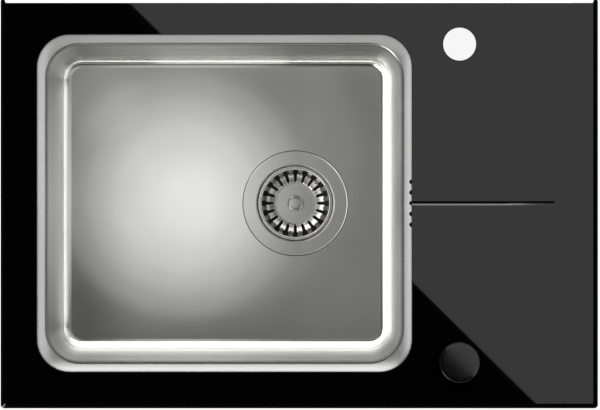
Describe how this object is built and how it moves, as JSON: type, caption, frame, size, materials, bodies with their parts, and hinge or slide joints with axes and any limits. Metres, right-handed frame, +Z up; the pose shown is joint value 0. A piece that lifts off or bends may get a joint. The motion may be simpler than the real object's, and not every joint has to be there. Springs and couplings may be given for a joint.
{
  "type": "kitchen sink",
  "caption": "Inset kitchen sink: black glass panel with drainer over a pressed steel bowl, slotted strainer basket and a turn knob that lifts the plug.",
  "frame": {"origin": "centre of the glass panel on the worktop plane, under the seal", "axes": "+X towards the drainer, +Y towards the tap hole at the back, +Z up"},
  "size_m": [0.635, 0.436, 0.292],
  "materials": {
    "black_glass": "polished, black back-painted",
    "bowl_steel": "satin brushed stainless",
    "waste_steel": "polished stainless",
    "zinc_steel": "zinc plated",
    "black_plastic": "moulded polypropylene",
    "white_plastic": "moulded acetal",
    "grey_plastic": "moulded polypropylene",
    "knob_black": "gloss black",
    "black_rubber": "moulded rubber",
    "grey_foam": "closed-cell foam",
    "bond": "cured silicone",
    "sound_pad": "bitumen pad",
    "brass": "turned"
  },
  "bodies": {
    "sink": {"glass_top": "black_glass", "worktop_seal": "grey_foam", "bowl": "bowl_steel", "bowl_bond": "bond", "sound_pad": "sound_pad", "rail_front": "zinc_steel", "rail_back": "zinc_steel", "rail_left": "zinc_steel", "rail_right": "zinc_steel", "rail_bonds": "bond", "clamp_studs": "zinc_steel", "waste_flange": "waste_steel", "waste_top_seal": "black_rubber", "waste_gasket": "black_rubber", "waste_screws": "waste_steel", "waste_body": "black_plastic", "shaft_bush": "white_plastic", "shaft_seal": "black_rubber", "cable_ferrules": "zinc_steel", "overflow_gasket": "black_rubber", "overflow_collector": "black_plastic", "overflow_studs": "zinc_steel", "overflow_nuts": "zinc_steel", "overflow_pipe": "grey_plastic", "overflow_seal": "black_rubber", "control_bush": "brass", "bush_seal": "black_rubber", "bush_washer": "black_rubber", "bush_nut": "brass", "drive_housing": "black_plastic", "drive_cover": "black_plastic", "cover_screws": "zinc_steel"},
    "knob": {"control_knob": "knob_black", "knob_grub_screw": "zinc_steel", "control_spindle": "brass", "drive_pinion": "white_plastic"},
    "rack": {"drive_rack": "white_plastic", "rack_rod": "zinc_steel"},
    "lever_rod": {"lever_rod": "zinc_steel"},
    "lever": {"lever_finger": "white_plastic", "lever_shaft": "waste_steel", "lever_crank": "zinc_steel"},
    "lift_pin": {"lift_pin": "white_plastic"},
    "basket": {"basket_shell": "waste_steel", "basket_button": "waste_steel", "plug_seal": "black_rubber", "plug_plate": "waste_steel"},
    "clamp_nut_front_left": {"clamp_nut_front_left": "zinc_steel"},
    "clamp_strap_front_left": {"clamp_strap_front_left": "zinc_steel"},
    "clamp_nut_front_right": {"clamp_nut_front_right": "zinc_steel"},
    "clamp_strap_front_right": {"clamp_strap_front_right": "zinc_steel"},
    "clamp_nut_back_left": {"clamp_nut_back_left": "zinc_steel"},
    "clamp_strap_back_left": {"clamp_strap_back_left": "zinc_steel"},
    "clamp_nut_back_right": {"clamp_nut_back_right": "zinc_steel"},
    "clamp_strap_back_right": {"clamp_strap_back_right": "zinc_steel"}
  },
  "joints": [
    {"name": "knob_turn", "type": "hinge", "parent": "sink", "child": "knob", "pos_m": [0.1705, -0.1692, 0.0231], "axis": [0, 0, -1], "range_deg": [0, 90]},
    {"name": "rack_slide", "type": "slide", "parent": "sink", "child": "rack", "axis": [0, -1, 0], "range_m": [0, 0.01257]},
    {"name": "lever_rod_slide", "type": "slide", "parent": "sink", "child": "lever_rod", "axis": [1, 0, 0], "range_m": [0, 0.01257]},
    {"name": "lever_swing", "type": "hinge", "parent": "sink", "child": "lever", "pos_m": [0.0158, 0, -0.22611], "axis": [0, 1, 0], "range_deg": [0, 32]},
    {"name": "plug_lift", "type": "slide", "parent": "sink", "child": "lift_pin", "axis": [0, 0, 1], "range_m": [0, 0.01103]},
    {"name": "basket_lift_out", "type": "slide", "parent": "lift_pin", "child": "basket", "axis": [0, 0, 1], "range_m": [0, 0.23]},
    {"name": "clamp_height_front_left", "type": "slide", "parent": "sink", "child": "clamp_nut_front_left", "axis": [0, 0, 1], "range_m": [0, 0.012]},
    {"name": "clamp_swing_front_left", "type": "hinge", "parent": "clamp_nut_front_left", "child": "clamp_strap_front_left", "pos_m": [-0.24, -0.20025, -0.048], "axis": [0, 0, -1], "range_deg": [0, 90]},
    {"name": "clamp_height_front_right", "type": "slide", "parent": "sink", "child": "clamp_nut_front_right", "axis": [0, 0, 1], "range_m": [0, 0.012]},
    {"name": "clamp_swing_front_right", "type": "hinge", "parent": "clamp_nut_front_right", "child": "clamp_strap_front_right", "pos_m": [0.24, -0.20025, -0.048], "axis": [0, 0, 1], "range_deg": [0, 90]},
    {"name": "clamp_height_back_left", "type": "slide", "parent": "sink", "child": "clamp_nut_back_left", "axis": [0, 0, 1], "range_m": [0, 0.012]},
    {"name": "clamp_swing_back_left", "type": "hinge", "parent": "clamp_nut_back_left", "child": "clamp_strap_back_left", "pos_m": [-0.24, 0.20025, -0.048], "axis": [0, 0, 1], "range_deg": [0, 90]},
    {"name": "clamp_height_back_right", "type": "slide", "parent": "sink", "child": "clamp_nut_back_right", "axis": [0, 0, 1], "range_m": [0, 0.012]},
    {"name": "clamp_swing_back_right", "type": "hinge", "parent": "clamp_nut_back_right", "child": "clamp_strap_back_right", "pos_m": [0.24, 0.20025, -0.048], "axis": [0, 0, -1], "range_deg": [0, 90]}
  ],
  "couplings": [
    {"joint": "rack_slide", "follows": "knob_turn", "m_per_rad": 0.008},
    {"joint": "lever_rod_slide", "follows": "knob_turn", "m_per_rad": 0.008},
    {"joint": "lever_swing", "follows": "knob_turn", "ratio": 0.35556},
    {"joint": "plug_lift", "follows": "knob_turn", "m_per_rad": 0.007019}
  ]
}
